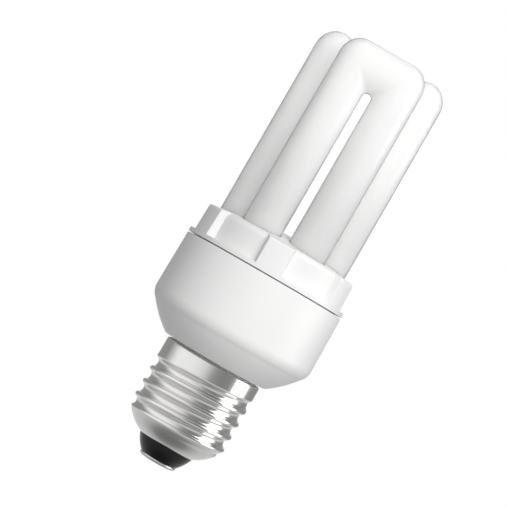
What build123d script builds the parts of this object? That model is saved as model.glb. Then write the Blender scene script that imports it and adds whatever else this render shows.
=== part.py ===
import os
from math import atan, copysign, cos, degrees, hypot, radians, sin, tan

from build123d import *

# Compact fluorescent lamp with three U-shaped tubes and an E27 screw cap.
# Millimetres. The origin is the middle of the end contact's face, +Z runs along the lamp's axis
# from the cap to the tubes, and one pair of tubes faces -Y.

# Clearances
fit = 0.05
slip = 0.15
cut_margin = 1.0

# Screw cap
thread_pitch = 25.4 / 7
thread_crest_radius = 13.2
thread_root_radius = 12.05
groove_half_width = 1.5
groove_opening = 0.1
groove_start_z = 5.2
groove_turns = 4 + 5 / 6
run_out_angle = 150
shell_wall = 0.3
lip_radius = 7.55
lip_z = 4.85
shoulder_z = 10.5
shoulder_bulge = 0.75
bore_step_z = 24.4
bore_step_height = 0.7
shell_top_z = 28.65

# Insulator and end contact
contact_radius = 4.9
contact_thickness = 0.8
contact_edge_rounding = 0.6
contact_pocket_radius = 1.2
contact_pocket_depth = 0.4
insulator_side_hollow = 0.25
insulator_bore_radius = 1.3
insulator_rim_height = 0.3
solder_height = 1.2
solder_rounding = 0.3

# Ballast housing
housing_joint_gap = 0.4
housing_wall = 1.6
housing_foot_radius = 14.3
housing_draft = 0.25
housing_cone_angle = 46
housing_shoulder_rounding = 4.5
housing_rim_z = 53.5
housing_rim_rounding = 0.3
neck_wall = 1.3
neck_bottom_z = 11.0
neck_notch_width = 1.6
neck_notch_height = 3.0
rib_count = 4
rib_thickness = 1.4
rib_depth = 2.1
rib_height = 11.5

# Tube holder
holder_joint_gap = 0.3
holder_ring_height = 1.1
holder_edge_z = 62.0
holder_edge_rounding = 0.7
holder_top_slope = 8.0
holder_plate = 1.7
holder_skirt_depth = 3.4
holder_skirt_wall = 1.3
holder_wall = 1.65
leg_margin = 0.45
pocket_depth = 2.0
pocket_edge_rounding = 1.8
pillar_half_width = 3.3
pillar_side_draft = 12.0
pillar_draft = 0.25
pillar_rounding = 0.3
snap_rise = 0.9
snap_height = 0.35
snap_length = 1.3

# Discharge tube
tube_radius = 5.15
leg_circle_radius = 12.65
tube_top_z = 115.7
tube_crown_height = 5.8
tube_end_z = 54.2
tube_end_rounding = 1.5
bridge_radius = 2.4
bridge_z = 57.6
cement_thickness = 2.4

# Circuit board and its solder joints
board_thickness = 1.6
lead_radius = 0.3
lead_end = 0.6
joint_radius = 0.8
joint_height = 0.45
joint_taper = 30

# Parts that hang below the board: size, and place of the middle on the board
body_gap = 0.3
lead_root = 1.0
box_corner_share = 1 / 3
box_edge_share = 1 / 4
filter_radius = 5.0
filter_length = 20.0
filter_drop = 11.0
filter_pitch = 5.0
filter_rounding = 0.5
fuse_place = (7.6, 0)
fuse_radius = 1.7
fuse_length = 9.0
fuse_bottom_z = 15.0
fuse_tail = 1.0
fuse_rounding = 0.5
sleeve_wall = 0.35
sleeve_overhang = 1.2
live_radius = 0.4
live_bend = 1.2
neutral_place = (0, -8.2)
neutral_bend = 1.5
cross_z = 12.4
choke_place = (-11.2, 0)
choke_width = 13.0
choke_depth = 6.0
choke_height = 12.8
choke_leg = 1.9
choke_core_gap = 0.2
choke_flange = 0.6
choke_flange_depth = 10.4
choke_coil_depth = 9.6
choke_coil_rounding = 1.5
choke_pin_pitch = 6.8
choke_rail_width = 1.9
film_place = (0, -14.2)
film_size = (11, 5, 8.5)
film_pitch = 8.0
blocking_place = (0, 13.6)
blocking_size = (9, 5, 7)
blocking_pitch = 6.0
start_place = (-9.4, -10.6)
start_size = (7, 3.2, 6.5)
start_pitch = 5.0
thermistor_place = (-8.4, 11.6)
thermistor_radius = 3.0
thermistor_thickness = 2.4
thermistor_pitch = 4.0
thermistor_rounding = 0.4
transistor_places = ((7.6, 13.0), (8.4, -12.6))
transistor_radius = 2.3
transistor_height = 4.6
transistor_pitch = 1.7
drum_place = (12.3, -5.6)
drum_radius = 3.2
drum_core_radius = 1.4
drum_flange = 0.9
drum_height = 7.5
drum_pitch = 4.4
ring_place = (12.2, 6.8)
ring_radius = 4.6
ring_bore_radius = 2.5
ring_height = 3.6
ring_rounding = 0.3
ring_wire = 0.4
ring_coil_angles = (90, 210, 330)
ring_turn_angle = 18

# Parts that lie on top of the board
axial_pitch = 8.4
axial_bend = 0.7
diode_places = ((-4.2, 6.0), (-1.2, 6.0), (1.8, 6.0), (4.8, 6.0))
diode_radius = 1.2
diode_length = 4.6
resistor_places = ((0, -3.4), (0, -6.0))
resistor_radius = 1.1
resistor_length = 5.2
diac_place = (0, -10.5)
diac_radius = 0.9
diac_length = 3.2
diac_pitch = 6.0
post_radius = 17.3
post_angles = (30, 85, 95, 150)
post_width = 0.7
post_height = 4.6
post_depth = 0.6
wrap_wall = 0.3
wrap_height = 1.8
wrap_rise = 2.0
tube_lead_bend = 0.6
tube_lead_radius = 0.2
tube_lead_spread = 1.6

# Places that follow from the sizes above
holder_inner_radius = leg_circle_radius + tube_radius + leg_margin
pocket_floor_radius = holder_inner_radius + holder_wall
housing_rim_radius = pocket_floor_radius + pocket_depth
housing_low_radius = housing_rim_radius + housing_draft
housing_foot_z = shell_top_z + housing_joint_gap
ring_bottom_z = housing_rim_z + holder_joint_gap
ring_top_z = ring_bottom_z + holder_ring_height
holder_skirt_z = housing_rim_z - holder_skirt_depth
board_top_z = holder_skirt_z - fit
board_bottom_z = board_top_z - board_thickness
board_radius = housing_rim_radius - housing_wall - 2 * slip
bore_radius = thread_root_radius - shell_wall
skirt_bore_radius = thread_crest_radius - shell_wall
neck_radius = bore_radius - fit
neck_bore_radius = neck_radius - neck_wall
insulator_top_z = shoulder_z - shell_wall - fit
pair_radius = leg_circle_radius * cos(radians(30))

# Angles of the six tube legs about the axis: the front pair first, then the right and left pairs
leg_angles = (-120, -60, 0, 60, 120, 180)
pillar_angles = (-90, -30, 30, 90, 150, 210)
crown_angles = (-90, 30, 150)
bridge_angles = (-30, -150)
electrode_angles = (60, 120)


def reach(edge):
    return hypot((edge @ 0.5).X, (edge @ 0.5).Y)


def around(radius, angle):
    return radius * cos(radians(angle)), radius * sin(radians(angle))


def upright(point, angle):
    return Plane(origin=point, x_dir=(*around(1, angle), 0), z_dir=(*around(1, angle - 90), 0))


def save(piece, name):
    piece.label = name
    export_step(piece, f"parts/{name}.step")


os.makedirs("parts", exist_ok=True)

# Thread groove: a hollow swept up a right-hand helix, then run out of the metal on a taper
groove_height = groove_turns * thread_pitch
groove_open_radius = thread_crest_radius + groove_opening
run_out_height = run_out_angle / 360 * thread_pitch
run_out_cone = degrees(atan((groove_open_radius - thread_root_radius) / run_out_height))
with BuildSketch(Plane(origin=(0, 0, 0), x_dir=(1, 0, 0), z_dir=(0, -1, 0))) as groove_section:
    with BuildLine():
        ThreePointArc(
            (groove_open_radius, -groove_half_width),
            (thread_root_radius, 0),
            (groove_open_radius, groove_half_width),
        )
        Line((groove_open_radius, groove_half_width), (groove_open_radius, -groove_half_width))
    make_face()
grooves = []
for height, cone, start_z, start_angle in (
    (groove_height, 0, groove_start_z, 0),
    (run_out_height, run_out_cone, groove_start_z + groove_height, groove_turns % 1 * 360),
):
    with BuildPart() as groove:
        with BuildLine() as groove_path:
            Helix(thread_pitch, height, thread_crest_radius, cone_angle=cone)
        sweep(groove_section.sketch, path=groove_path.wires()[0], is_frenet=True)
    grooves.append(groove.part.moved(Location((0, 0, start_z), (0, 0, start_angle))))

# Cap shell: rolled sheet with a threaded barrel, a smooth skirt and a lip turned in at the bottom
with BuildPart() as screw_shell:
    with BuildSketch(Plane.XZ):
        with BuildLine():
            SagittaArc((thread_crest_radius, shoulder_z), (lip_radius, lip_z), shoulder_bulge)
            Line((lip_radius, lip_z), (lip_radius, lip_z + shell_wall))
            SagittaArc(
                (lip_radius, lip_z + shell_wall),
                (bore_radius, shoulder_z - shell_wall),
                -shoulder_bulge,
            )
            Polyline(
                (bore_radius, shoulder_z - shell_wall),
                (bore_radius, shell_top_z),
                (thread_crest_radius, shell_top_z),
                (thread_crest_radius, shoulder_z),
            )
        make_face()
    revolve(axis=Axis.Z)
    for groove_cut in grooves:
        add(groove_cut, mode=Mode.SUBTRACT)
    with BuildSketch(Plane.XZ):
        with BuildLine():
            Polyline(
                (bore_radius - slip, bore_step_z - slip),
                (skirt_bore_radius, bore_step_z + bore_step_height),
                (skirt_bore_radius, shell_top_z + slip),
                (bore_radius - slip, shell_top_z + slip),
                close=True,
            )
        make_face()
    revolve(axis=Axis.Z, mode=Mode.SUBTRACT)
save(screw_shell.part, "screw_shell")

# Insulator: glass moulded into the lip of the shell, with a bore for the live lead
insulator_radius = lip_radius - 2 * fit
with BuildPart() as cap_insulator:
    with BuildSketch(Plane.XZ):
        with BuildLine():
            Line((insulator_bore_radius, contact_thickness + fit), (contact_radius, contact_thickness + fit))
            SagittaArc(
                (contact_radius, contact_thickness + fit),
                (insulator_radius, lip_z),
                -insulator_side_hollow,
            )
            Line((insulator_radius, lip_z), (insulator_radius, lip_z + shell_wall + fit))
            SagittaArc(
                (insulator_radius, lip_z + shell_wall + fit),
                (bore_radius - 2 * fit, insulator_top_z + fit),
                -shoulder_bulge,
            )
            Polyline(
                (bore_radius - 2 * fit, insulator_top_z + fit),
                (bore_radius - 2 * fit, insulator_top_z + insulator_rim_height),
                (insulator_bore_radius, insulator_top_z + insulator_rim_height),
                (insulator_bore_radius, contact_thickness + fit),
            )
        make_face()
    revolve(axis=Axis.Z)
save(cap_insulator.part, "cap_insulator")

# End contact: a pressed brass button with a flat face and a pocket for the solder on its back
with BuildPart() as end_contact:
    with BuildSketch(Plane.XY):
        Circle(contact_radius)
    extrude(amount=contact_thickness)
    fillet(end_contact.faces().sort_by(Axis.Z)[0].edges(), contact_edge_rounding)
    with BuildSketch(Plane.XY.offset(contact_thickness)):
        Circle(contact_pocket_radius)
    extrude(amount=-contact_pocket_depth, mode=Mode.SUBTRACT)
save(end_contact.part, "end_contact")

# Solder that holds the live lead in the contact's pocket
solder_z = contact_thickness - contact_pocket_depth + fit
with BuildPart() as contact_solder:
    with BuildSketch(Plane.XY.offset(solder_z)):
        Circle(contact_pocket_radius - fit)
    extrude(amount=solder_height)
    fillet(contact_solder.faces().sort_by(Axis.Z)[-1].edges(), solder_rounding)
save(contact_solder.part, "contact_solder")

# Ballast housing: a moulded bowl whose neck plugs into the cap
cone_height = (housing_low_radius - housing_foot_radius) / tan(radians(housing_cone_angle))
housing_cone_z = housing_foot_z + cone_height
housing_bore_radius = housing_rim_radius - housing_wall
inner_cone_z = housing_cone_z + housing_wall * tan(radians(housing_cone_angle / 2))
inner_foot_z = inner_cone_z - (housing_low_radius - housing_wall - neck_bore_radius) / tan(
    radians(housing_cone_angle)
)
snap_z = holder_skirt_z + snap_rise
rib_face_radius = board_radius - rib_depth + slip
with BuildPart() as ballast_housing:
    with BuildSketch(Plane.XZ) as housing_section:
        with BuildLine():
            Polyline(
                (neck_radius, neck_bottom_z),
                (neck_radius, bore_step_z + slip),
                (skirt_bore_radius - fit, bore_step_z + bore_step_height + slip),
                (skirt_bore_radius - fit, housing_foot_z),
                (housing_foot_radius, housing_foot_z),
                (housing_low_radius, housing_cone_z),
                (housing_rim_radius, housing_rim_z),
                (housing_bore_radius, housing_rim_z),
                (housing_bore_radius, snap_z + snap_length + snap_height),
                (housing_bore_radius + snap_height, snap_z + snap_length),
                (housing_bore_radius + snap_height, snap_z),
                (housing_bore_radius, snap_z - snap_height),
                (housing_low_radius - housing_wall, inner_cone_z),
                (neck_bore_radius, inner_foot_z),
                (neck_bore_radius, neck_bottom_z),
                close=True,
            )
        make_face()
        shoulder = housing_section.vertices().sort_by_distance((housing_low_radius, housing_cone_z))[0]
        fillet(shoulder, housing_shoulder_rounding)
        rim = housing_section.vertices().sort_by_distance((housing_rim_radius, housing_rim_z))[0]
        fillet(rim, housing_rim_rounding)
    revolve(axis=Axis.Z)
    rib_middle_radius = (rib_face_radius + housing_low_radius - housing_wall / 2) / 2
    rib_length = housing_low_radius - housing_wall / 2 - rib_face_radius
    with BuildSketch(Plane.XY.offset(board_bottom_z - fit)):
        with PolarLocations(rib_middle_radius, rib_count, start_angle=180 / rib_count):
            Rectangle(rib_length, rib_thickness)
    extrude(amount=-rib_height)
    with BuildSketch(Plane.XY.offset(neck_bottom_z)):
        with Locations((0, neck_wall / 2 - neck_radius)):
            Rectangle(neck_notch_width, neck_wall + 2 * cut_margin)
    extrude(amount=neck_notch_height, mode=Mode.SUBTRACT)
save(ballast_housing.part, "ballast_housing")

# Tube holder: a moulded lid with six holes, six pockets in its wall and pillars between them
plate_rise = tan(radians(holder_top_slope))
holder_top_z = holder_edge_z + housing_rim_radius * plate_rise
skirt_outer_radius = housing_bore_radius - 2 * fit
cavity_edge_z = holder_top_z - holder_plate - holder_inner_radius * plate_rise
pocket_top_z = holder_top_z + cut_margin
pillar_foot_width = 2 * pillar_half_width + housing_rim_radius * tan(radians(pillar_side_draft))
pocket_inner_radius = holder_inner_radius - cut_margin
pocket_outer_radius = housing_rim_radius + cut_margin
with BuildPart() as pocket_cut:
    with BuildSketch(Plane.XZ) as pocket_section:
        with BuildLine():
            Polyline(
                (pocket_floor_radius, ring_top_z),
                (pocket_floor_radius, holder_top_z - pocket_floor_radius * plate_rise),
                (pocket_inner_radius, holder_top_z - pocket_inner_radius * plate_rise),
                (pocket_inner_radius, pocket_top_z),
                (pocket_outer_radius, pocket_top_z),
                (pocket_outer_radius, ring_top_z),
                close=True,
            )
        make_face()
        corner = pocket_section.vertices().sort_by_distance((pocket_floor_radius, holder_edge_z))[0]
        fillet(corner, pocket_edge_rounding)
    revolve(axis=Axis.Z)
    with BuildSketch(Plane.XY.offset(ring_top_z)):
        with PolarLocations(housing_rim_radius, len(pillar_angles), start_angle=pillar_angles[0]):
            Trapezoid(pillar_foot_width, housing_rim_radius, 90 - pillar_side_draft, rotation=-90)
    extrude(amount=pocket_top_z - ring_top_z, mode=Mode.SUBTRACT)
with BuildPart() as tube_holder:
    with BuildSketch(Plane.XZ) as holder_section:
        with BuildLine():
            Polyline(
                (skirt_outer_radius, holder_skirt_z),
                (skirt_outer_radius, snap_z - snap_height + 2 * fit),
                (skirt_outer_radius + snap_height - fit, snap_z + 2 * fit),
                (skirt_outer_radius + snap_height - fit, snap_z + snap_length - 2 * fit),
                (skirt_outer_radius, snap_z + snap_length + snap_height - 2 * fit),
                (skirt_outer_radius, ring_bottom_z),
                (housing_rim_radius, ring_bottom_z),
                (housing_rim_radius, ring_top_z),
                (housing_rim_radius - pillar_draft, holder_edge_z),
                (0, holder_top_z),
                (0, holder_top_z - holder_plate),
                (holder_inner_radius, cavity_edge_z),
                (holder_inner_radius, ring_bottom_z),
                (skirt_outer_radius - holder_skirt_wall, holder_skirt_z),
                close=True,
            )
        make_face()
        edge = holder_section.vertices().sort_by_distance((housing_rim_radius, holder_edge_z))[0]
        fillet(edge, holder_edge_rounding)
    revolve(axis=Axis.Z)
    add(pocket_cut.part, mode=Mode.SUBTRACT)
    tall_edges = edges().filter_by(lambda edge: edge.bounding_box().size.Z > holder_skirt_depth)
    fillet(tall_edges.filter_by(lambda edge: reach(edge) > pocket_inner_radius + cut_margin / 2), pillar_rounding)
    with BuildSketch(Plane.XY.offset(ring_bottom_z)):
        with PolarLocations(leg_circle_radius, len(leg_angles), start_angle=leg_angles[0]):
            Circle(tube_radius + slip)
        for angle in bridge_angles:
            with Locations(Location((*around(pair_radius, angle), 0), (0, 0, angle))):
                Rectangle(2 * (bridge_radius + slip), leg_circle_radius)
    extrude(amount=pocket_top_z - ring_bottom_z, mode=Mode.SUBTRACT)
save(tube_holder.part, "tube_holder")

# Discharge tube: three U-tubes of blown glass joined by two bridges below the holder's top
crown_z = tube_top_z - tube_crown_height
with BuildPart() as discharge_tube:
    with BuildSketch(Plane.XY.offset(tube_end_z)):
        with PolarLocations(leg_circle_radius, len(leg_angles), start_angle=leg_angles[0]):
            Circle(tube_radius)
    extrude(amount=crown_z - tube_end_z)
    fillet(discharge_tube.faces().group_by(Axis.Z)[0].edges(), tube_end_rounding)
    for angle in crown_angles:
        crown_middle = (*around(pair_radius, angle), crown_z)
        with BuildSketch(upright(crown_middle, angle)):
            Ellipse(tube_radius, tube_crown_height)
        extrude(amount=leg_circle_radius / 2, both=True)
    for leg, angle in enumerate(leg_angles):
        elbow_start = crown_angles[leg // 2] + 180 * (1 - leg % 2)
        x, y = around(leg_circle_radius, angle)
        with BuildSketch(upright((x, y, crown_z), elbow_start)):
            Ellipse(tube_radius, tube_crown_height)
            Rectangle(tube_radius, tube_crown_height, align=(Align.MIN, Align.MIN), mode=Mode.INTERSECT)
        revolve(axis=Axis((x, y, 0), (0, 0, 1)), revolution_arc=180)
    for angle in bridge_angles:
        bridge_middle = (*around(pair_radius, angle), bridge_z)
        with BuildSketch(upright(bridge_middle, angle)):
            Circle(bridge_radius)
        extrude(amount=leg_circle_radius / 2, both=True)
save(discharge_tube.part, "discharge_tube")

# Cement poured round the legs under the holder's top, and into the slots over the bridges
with BuildPart() as tube_cement:
    with BuildSketch(Plane.XY.offset(bridge_z)):
        Circle(holder_inner_radius - slip)
    extrude(amount=cement_thickness)
    with BuildSketch(Plane.XY.offset(bridge_z)):
        for angle in bridge_angles:
            with Locations(Location((*around(pair_radius, angle), 0), (0, 0, angle))):
                Rectangle(2 * bridge_radius, leg_circle_radius)
    extrude(amount=holder_edge_z - bridge_z)
    with BuildSketch(Plane.XY.offset(tube_end_z)):
        with PolarLocations(leg_circle_radius, len(leg_angles), start_angle=leg_angles[0]):
            Circle(tube_radius + fit)
    extrude(amount=crown_z - tube_end_z, mode=Mode.SUBTRACT)
    for angle in bridge_angles:
        bridge_middle = (*around(pair_radius, angle), bridge_z)
        with BuildSketch(upright(bridge_middle, angle)):
            Circle(bridge_radius + fit)
        extrude(amount=leg_circle_radius / 2, both=True, mode=Mode.SUBTRACT)
save(tube_cement.part, "tube_cement")


def pair(place, pitch, angle=0):
    dx, dy = around(pitch / 2, angle)
    return [(place[0] - dx, place[1] - dy), (place[0] + dx, place[1] + dy)]


# Where each lead crosses the board: from parts below it, and from parts on top of it
filter_leads = pair((0, 0), filter_pitch)
film_leads = pair(film_place, film_pitch)
blocking_leads = pair(blocking_place, blocking_pitch)
start_leads = pair(start_place, start_pitch)
thermistor_leads = pair(thermistor_place, thermistor_pitch)
drum_leads = pair(drum_place, drum_pitch)
transistor_leads = []
for place in transistor_places:
    transistor_leads += [place] + pair(place, 2 * transistor_pitch)
choke_pins = []
for rail in pair(choke_place, choke_flange_depth - choke_rail_width):
    choke_pins += pair(rail, choke_pin_pitch, 90)
ring_leads = []
for angle in ring_coil_angles:
    for side in (-ring_turn_angle, ring_turn_angle):
        x, y = around(ring_radius + slip + ring_wire / 2, angle + side)
        ring_leads.append((ring_place[0] + x, ring_place[1] + y))
leads_from_below = (
    filter_leads + film_leads + blocking_leads + start_leads + thermistor_leads + drum_leads
    + transistor_leads + choke_pins + ring_leads + [fuse_place, neutral_place]
)
leads_from_above = pair(diac_place, diac_pitch)
for place in diode_places:
    leads_from_above += pair(place, axial_pitch, 90)
for place in resistor_places:
    leads_from_above += pair(place, axial_pitch)

# Circuit board: a round phenolic board on the housing's ribs
with BuildPart() as circuit_board:
    with BuildSketch(Plane.XY.offset(board_bottom_z)):
        Circle(board_radius)
        with Locations(*leads_from_below, *leads_from_above):
            Circle(lead_radius + slip, mode=Mode.SUBTRACT)
        for angle in post_angles:
            with Locations(Location((*around(post_radius, angle), 0), (0, 0, angle))):
                Rectangle(post_width + fit, post_width + fit, mode=Mode.SUBTRACT)
    extrude(amount=board_thickness)
save(circuit_board.part, "circuit_board")

# Solder joints: a cone of solder round each lead on the far side of the board
with BuildPart() as solder_joints:
    with BuildSketch(Plane.XY.offset(board_top_z + fit)):
        with Locations(*leads_from_below):
            Circle(joint_radius)
            Circle(lead_radius + fit, mode=Mode.SUBTRACT)
    extrude(amount=joint_height, taper=joint_taper)
    with BuildSketch(Plane.XY.offset(board_bottom_z - fit)):
        with Locations(*leads_from_above):
            Circle(joint_radius)
            Circle(lead_radius + fit, mode=Mode.SUBTRACT)
    extrude(amount=-joint_height, taper=joint_taper)
save(solder_joints.part, "solder_joints")

# Filter capacitor: a can that hangs into the cap on long leads
filter_top_z = board_bottom_z - filter_drop
with BuildPart() as filter_capacitor:
    with BuildSketch(Plane.XY.offset(filter_top_z - filter_length)):
        Circle(filter_radius)
    extrude(amount=filter_length)
    fillet(filter_capacitor.edges().filter_by(GeomType.CIRCLE), filter_rounding)
    with BuildSketch(Plane.XY.offset(filter_top_z - lead_root)):
        with Locations(*filter_leads):
            Circle(lead_radius)
    extrude(amount=board_top_z + lead_end - filter_top_z + lead_root)
save(filter_capacitor.part, "filter_capacitor")

# Film capacitors: dipped boxes on two leads
lead_top_z = board_top_z + lead_end
body_top_z = board_bottom_z - body_gap
for name, place, size, leads in (
    ("resonant_capacitor", film_place, film_size, film_leads),
    ("blocking_capacitor", blocking_place, blocking_size, blocking_leads),
    ("start_capacitor", start_place, start_size, start_leads),
):
    with BuildPart() as box_capacitor:
        with BuildSketch(Plane.XY.offset(body_top_z)):
            with Locations(place):
                RectangleRounded(size[0], size[1], size[1] * box_corner_share)
        extrude(amount=-size[2])
        fillet(box_capacitor.faces().sort_by(Axis.Z)[0].edges(), size[1] * box_edge_share)
        with BuildSketch(Plane.XY.offset(body_top_z - lead_root)):
            with Locations(*leads):
                Circle(lead_radius)
        extrude(amount=lead_top_z - body_top_z + lead_root)
    save(box_capacitor.part, name)

# Start thermistor: a disc standing on two leads
thermistor_z = body_top_z - thermistor_radius
with BuildPart() as start_thermistor:
    with BuildSketch(upright((*thermistor_place, thermistor_z), 0)):
        Circle(thermistor_radius)
    extrude(amount=thermistor_thickness / 2, both=True)
    fillet(start_thermistor.edges().filter_by(GeomType.CIRCLE), thermistor_rounding)
    with BuildSketch(Plane.XY.offset(thermistor_z)):
        with Locations(*thermistor_leads):
            Circle(lead_radius)
    extrude(amount=lead_top_z - thermistor_z)
save(start_thermistor.part, "start_thermistor")

# Transistors: two half-round bodies on three leads each
with BuildPart() as transistors:
    with BuildSketch(Plane.XY.offset(body_top_z)):
        for place in transistor_places:
            flat = place[1] + copysign(transistor_radius, place[1])
            with Locations(place):
                Circle(transistor_radius)
            with Locations((place[0], flat)):
                Rectangle(2 * transistor_radius, transistor_radius, mode=Mode.SUBTRACT)
    extrude(amount=-transistor_height)
    with BuildSketch(Plane.XY.offset(body_top_z - lead_root)):
        with Locations(*transistor_leads):
            Circle(lead_radius)
    extrude(amount=lead_top_z - body_top_z + lead_root)
save(transistors.part, "transistors")

# Choke: two E-shaped ferrite halves round a bobbin with its winding, standing on four pins
choke_top_z = body_top_z - slip
choke_middle_z = choke_top_z - choke_height / 2
window_width = (choke_width - 4 * choke_leg) / 2
window_height = choke_height - 2 * choke_leg
choke_plane = Plane.YZ.offset(choke_place[0])
with BuildPart() as choke_core:
    with BuildSketch(choke_plane):
        with Locations((choke_place[1], choke_middle_z)):
            Rectangle(choke_width, choke_height)
            with Locations((-choke_leg - window_width / 2, 0), (choke_leg + window_width / 2, 0)):
                Rectangle(window_width, window_height, mode=Mode.SUBTRACT)
            Rectangle(choke_width, choke_core_gap, mode=Mode.SUBTRACT)
    extrude(amount=choke_depth / 2, both=True)
save(choke_core.part, "choke_core")

bobbin_height = window_height - 2 * fit
flange_width = 2 * (choke_leg + window_width - 2 * fit)
sleeve_size = (choke_depth + 4 * fit, 2 * choke_leg + 4 * fit)
wall_size = (sleeve_size[0] + 2 * choke_flange, sleeve_size[1] + 2 * choke_flange)
bobbin_bottom_z = choke_middle_z - bobbin_height / 2
rail_height = board_bottom_z - fit - (choke_middle_z + bobbin_height / 2)
with BuildPart() as choke_bobbin:
    for z in (bobbin_bottom_z, bobbin_bottom_z + bobbin_height - choke_flange):
        with BuildSketch(Plane.XY.offset(z)):
            with Locations(choke_place):
                Rectangle(choke_flange_depth, flange_width)
        extrude(amount=choke_flange)
    with BuildSketch(Plane.XY.offset(bobbin_bottom_z)):
        with Locations(choke_place):
            Rectangle(*wall_size)
    extrude(amount=bobbin_height)
    with BuildSketch(Plane.XY.offset(board_bottom_z - fit)):
        with Locations(*pair(choke_place, choke_flange_depth - choke_rail_width)):
            Rectangle(choke_rail_width, flange_width)
        with Locations(*choke_pins):
            Circle(lead_radius + fit, mode=Mode.SUBTRACT)
    extrude(amount=-rail_height)
    with BuildSketch(Plane.XY.offset(bobbin_bottom_z)):
        with Locations(choke_place):
            Rectangle(*sleeve_size)
    extrude(amount=bobbin_height, mode=Mode.SUBTRACT)
save(choke_bobbin.part, "choke_bobbin")

with BuildPart() as choke_winding:
    with BuildSketch(Plane.XY.offset(bobbin_bottom_z + choke_flange + fit)):
        with Locations(choke_place):
            RectangleRounded(choke_coil_depth, flange_width - 2 * fit, choke_coil_rounding)
            Rectangle(wall_size[0] + 2 * fit, wall_size[1] + 2 * fit, mode=Mode.SUBTRACT)
    extrude(amount=bobbin_height - 2 * choke_flange - 2 * fit)
save(choke_winding.part, "choke_winding")

with BuildPart() as choke_pin_set:
    with BuildSketch(Plane.XY.offset(board_bottom_z - rail_height)):
        with Locations(*choke_pins):
            Circle(lead_radius)
    extrude(amount=lead_top_z - board_bottom_z + rail_height)
save(choke_pin_set.part, "choke_pins")

# Input choke: a ferrite drum with two moulded pins, and its winding
drum_bottom_z = body_top_z - drum_height
with BuildPart() as input_choke_core:
    for z in (drum_bottom_z, body_top_z - drum_flange):
        with BuildSketch(Plane.XY.offset(z)):
            with Locations(drum_place):
                Circle(drum_radius)
        extrude(amount=drum_flange)
    with BuildSketch(Plane.XY.offset(drum_bottom_z)):
        with Locations(drum_place):
            Circle(drum_core_radius)
    extrude(amount=drum_height)
    with BuildSketch(Plane.XY.offset(body_top_z - drum_flange / 2)):
        with Locations(*drum_leads):
            Circle(lead_radius)
    extrude(amount=lead_top_z - body_top_z + drum_flange / 2)
save(input_choke_core.part, "input_choke_core")

with BuildPart() as input_choke_winding:
    with BuildSketch(Plane.XY.offset(drum_bottom_z + drum_flange + fit)):
        with Locations(drum_place):
            Circle(drum_radius - slip)
            Circle(drum_core_radius + fit, mode=Mode.SUBTRACT)
    extrude(amount=drum_height - 2 * drum_flange - 2 * fit)
save(input_choke_winding.part, "input_choke_winding")

# Drive transformer: a ferrite ring lying under the board, with three windings of three turns
ring_top_z = body_top_z - slip - ring_wire
ring_middle = (*ring_place, ring_top_z - ring_height / 2)
with BuildPart() as drive_ring:
    with BuildSketch(Plane.XY.offset(ring_top_z)):
        with Locations(ring_place):
            Circle(ring_radius)
            Circle(ring_bore_radius, mode=Mode.SUBTRACT)
    extrude(amount=-ring_height)
    fillet(drive_ring.edges(), ring_rounding)
save(drive_ring.part, "drive_ring")

turn_width = ring_radius - ring_bore_radius + 2 * slip
turn_offset = (ring_radius + ring_bore_radius) / 2
with BuildPart() as drive_windings:
    for coil_angle in ring_coil_angles:
        for side in (-ring_turn_angle, 0, ring_turn_angle):
            with BuildSketch(upright(ring_middle, coil_angle + side)):
                with Locations((turn_offset, 0)):
                    Rectangle(turn_width + 2 * ring_wire, ring_height + 2 * slip + 2 * ring_wire)
                    Rectangle(turn_width, ring_height + 2 * slip, mode=Mode.SUBTRACT)
            extrude(amount=ring_wire / 2, both=True)
    with BuildSketch(Plane.XY.offset(ring_middle[2])):
        with Locations(*ring_leads):
            Circle(ring_wire / 2)
    extrude(amount=lead_top_z - ring_middle[2])
save(drive_windings.part, "drive_windings")

# Fuse resistor in the live line, inside a shrunk sleeve
with BuildPart() as fuse_resistor:
    with BuildSketch(Plane.XY.offset(fuse_bottom_z)):
        with Locations(fuse_place):
            Circle(fuse_radius)
    extrude(amount=fuse_length)
    fillet(fuse_resistor.edges(), fuse_rounding)
    with BuildSketch(Plane.XY.offset(fuse_bottom_z - fuse_tail)):
        with Locations(fuse_place):
            Circle(lead_radius)
    extrude(amount=lead_top_z - fuse_bottom_z + fuse_tail)
save(fuse_resistor.part, "fuse_resistor")

with BuildPart() as fuse_sleeve:
    with BuildSketch(Plane.XY.offset(fuse_bottom_z - sleeve_overhang)):
        with Locations(fuse_place):
            Circle(fuse_radius + fit + sleeve_wall)
            Circle(fuse_radius + fit, mode=Mode.SUBTRACT)
    extrude(amount=fuse_length + 2 * sleeve_overhang)
save(fuse_sleeve.part, "fuse_sleeve")

# Live lead: up from the contact through the insulator and across to the fuse resistor
with BuildPart() as live_lead:
    with BuildLine() as live_path:
        FilletPolyline(
            (0, 0, solder_z + solder_height + fit),
            (0, 0, cross_z),
            (*fuse_place, cross_z),
            (*fuse_place, fuse_bottom_z - fuse_tail - fit),
            radius=live_bend,
        )
    with BuildSketch(Plane.XY.offset(solder_z + solder_height + fit)):
        Circle(live_radius)
    sweep(path=live_path.wires()[0])
save(live_lead.part, "live_lead")

# Neutral lead: down beside the filter capacitor and out through the neck's notch to the shell
with BuildPart() as neutral_lead:
    with BuildLine() as neutral_path:
        FilletPolyline(
            (*neutral_place, lead_top_z),
            (*neutral_place, cross_z),
            (neutral_place[0], -bore_radius + 2 * fit, cross_z),
            radius=neutral_bend,
        )
    with BuildSketch(Plane.XY.offset(lead_top_z)):
        with Locations(neutral_place):
            Circle(lead_radius)
    sweep(path=neutral_path.wires()[0])
save(neutral_lead.part, "neutral_lead")

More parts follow.
